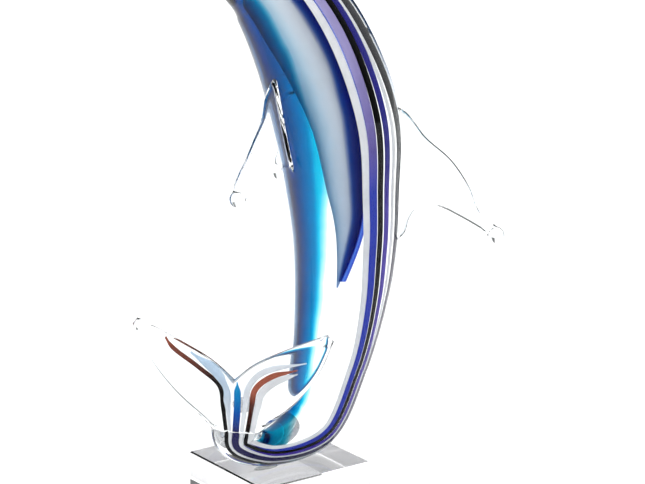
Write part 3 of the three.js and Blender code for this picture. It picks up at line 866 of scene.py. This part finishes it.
finGlass = clearGlass("Pulled clear glass, thin", wave=30.0)
rideAs(makeFin("dorsal_fin_glass", fins["dorsal"], fins["dorsalKnob"], Matrix(), finGlass),
       "clear_glass", "dorsal_fin")
for hand, side in ((1, "left"), (-1, "right")):
    fin = makeFin(f"{side}_pectoral_fin_glass", fins["pectoral"], fins["pectoralKnob"],
                  pectoralPlacing(hand), finGlass)
    rideAs(fin, "clear_glass", f"{side}_pectoral_fin")
bpy.data.objects.remove(seatCutter)
print("fins made")

# Cut and polished crystal: flatter and a little brighter than the hot-worked glass.
crystal = clearGlass("Cut and polished optical crystal", tint="#fbfbfc", ior=1.52, wave=60.0, bump=0.01)
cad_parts["crystal_block"].data.materials.clear()
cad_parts["crystal_block"].data.materials.append(crystal)


# Clear cured adhesive: a film with a faint haze of fine bubbles.
def adhesive(bubble=1.11):
    material, tree = startMaterial("Clear cured adhesive")
    place = addNode(tree, "ShaderNodeTexCoord").outputs["Object"]
    haze = addNode(tree, "ShaderNodeTexNoise", Vector=place, Scale=1000 / bubble)
    relief = addNode(tree, "ShaderNodeBump", Strength=0.2, Distance=0.0002, Height=haze.outputs[0])
    shader = addNode(tree, "ShaderNodeBsdfPrincipled", Base_Color=linear("#f4f6f2"), Roughness=0.1, IOR=1.5,
                     Transmission_Weight=0.9, Normal=relief.outputs[0])
    finishMaterial(tree, shader)
    return material


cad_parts["bond_pad"].data.materials.clear()
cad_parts["bond_pad"].data.materials.append(adhesive())
print("block and bond finished")

# Studio: a white tent with dimmer bands, which draw the thin grey edges of the glass.
studio = {
    "white": 1.95,
    "backdrop": 1.05,        # the plain white that the camera sees
    "mirrored": 0.35,        # share of the tent's light in what the glass mirrors
    "bandStrength": 0.08,
    "bands": 4,
    "bandTurn": 20,          # degrees
    "bandSharpness": 9.0,
    "floor": "#fbfbfb",
    "floorHalf": 6.0,        # metres
    "floorDrop": 0.0005,
    "boardGrain": 16.7,
    "bounces": 24,
}


def makeStudio():
    world = bpy.data.worlds.new("White tent")
    bpy.context.scene.world = world
    world.use_nodes = True
    tree = world.node_tree
    tree.nodes.clear()
    where = addNode(tree, "ShaderNodeTexCoord").outputs["Generated"]
    parts = addNode(tree, "ShaderNodeSeparateXYZ", Vector=where)
    turn = addNode(tree, "ShaderNodeMath", {"operation": "ARCTAN2"}, _0=parts.outputs["Y"],
                   _1=parts.outputs["X"])
    waves = addNode(tree, "ShaderNodeMath", {"operation": "MULTIPLY_ADD"}, _0=turn.outputs[0],
                    _1=studio["bands"] / 2, _2=math.radians(studio["bandTurn"]))
    swing = addNode(tree, "ShaderNodeMath", {"operation": "SINE"}, _0=waves.outputs[0])
    size = addNode(tree, "ShaderNodeMath", {"operation": "ABSOLUTE"}, _0=swing.outputs[0])
    band = addNode(tree, "ShaderNodeMath", {"operation": "POWER"}, _0=size.outputs[0],
                   _1=studio["bandSharpness"])
    light = addNode(tree, "ShaderNodeMapRange", Value=band.outputs[0], To_Min=studio["white"],
                    To_Max=studio["bandStrength"])
    seen = addNode(tree, "ShaderNodeLightPath")
    sharp = addNode(tree, "ShaderNodeMath", {"operation": "SUBTRACT", "use_clamp": True},
                    _0=seen.outputs["Is Reflection Ray"], _1=seen.outputs["Is Diffuse Ray"])
    share = addNode(tree, "ShaderNodeMapRange", Value=sharp.outputs[0], To_Min=1.0,
                    To_Max=studio["mirrored"])
    strength = addNode(tree, "ShaderNodeMath", {"operation": "MULTIPLY"}, _0=light.outputs[0],
                       _1=share.outputs[0])
    tent = addNode(tree, "ShaderNodeBackground", Color=(1, 1, 1, 1), Strength=strength.outputs[0])
    plain = addNode(tree, "ShaderNodeBackground", Color=(1, 1, 1, 1), Strength=studio["backdrop"])
    mix = addNode(tree, "ShaderNodeMixShader", _0=seen.outputs["Is Camera Ray"], _1=tent.outputs[0],
                  _2=plain.outputs[0])
    addNode(tree, "ShaderNodeOutputWorld", Surface=mix.outputs[0])

    mesh = bpy.data.meshes.new("floor")
    corners = [(x * studio["floorHalf"], y * studio["floorHalf"], -studio["floorDrop"])
               for x, y in ((-1, -1), (1, -1), (1, 1), (-1, 1))]
    mesh.from_pydata(corners, [], [(0, 1, 2, 3)])
    floor = addObject("floor", mesh)
    material, tree = startMaterial("Matt white board")
    place = addNode(tree, "ShaderNodeTexCoord").outputs["Object"]
    grain = addNode(tree, "ShaderNodeTexNoise", Vector=place, Scale=1000 / studio["boardGrain"])
    relief = addNode(tree, "ShaderNodeBump", Strength=0.02, Distance=0.0005, Height=grain.outputs[0])
    shader = addNode(tree, "ShaderNodeBsdfPrincipled", Base_Color=linear(studio["floor"]), Roughness=0.9,
                     Normal=relief.outputs[0])
    finishMaterial(tree, shader)
    mesh.materials.append(material)

    scene = bpy.context.scene
    scene.view_settings.view_transform = "Standard"
    scene.cycles.max_bounces = studio["bounces"]
    scene.cycles.transmission_bounces = studio["bounces"]
    scene.cycles.transparent_max_bounces = studio["bounces"]
    scene.cycles.use_denoising = True


makeStudio()

# Camera: a long lens, higher than the figure and tipped down a little.
view = {"at": (26.31, -1460.08, 538.93), "down": 15.4, "lens": 140.65}
lens = bpy.data.cameras.new("camera")
lens.lens = view["lens"]
lens.sensor_width = 36.0
camera = bpy.data.objects.new("camera", lens)
camera.location = toRow @ Vector(view["at"])
camera.rotation_euler = (math.radians(90 - view["down"]), 0, math.radians(figure["turn"]))
bpy.context.scene.collection.objects.link(camera)
bpy.context.scene.camera = camera
print("studio and camera set")
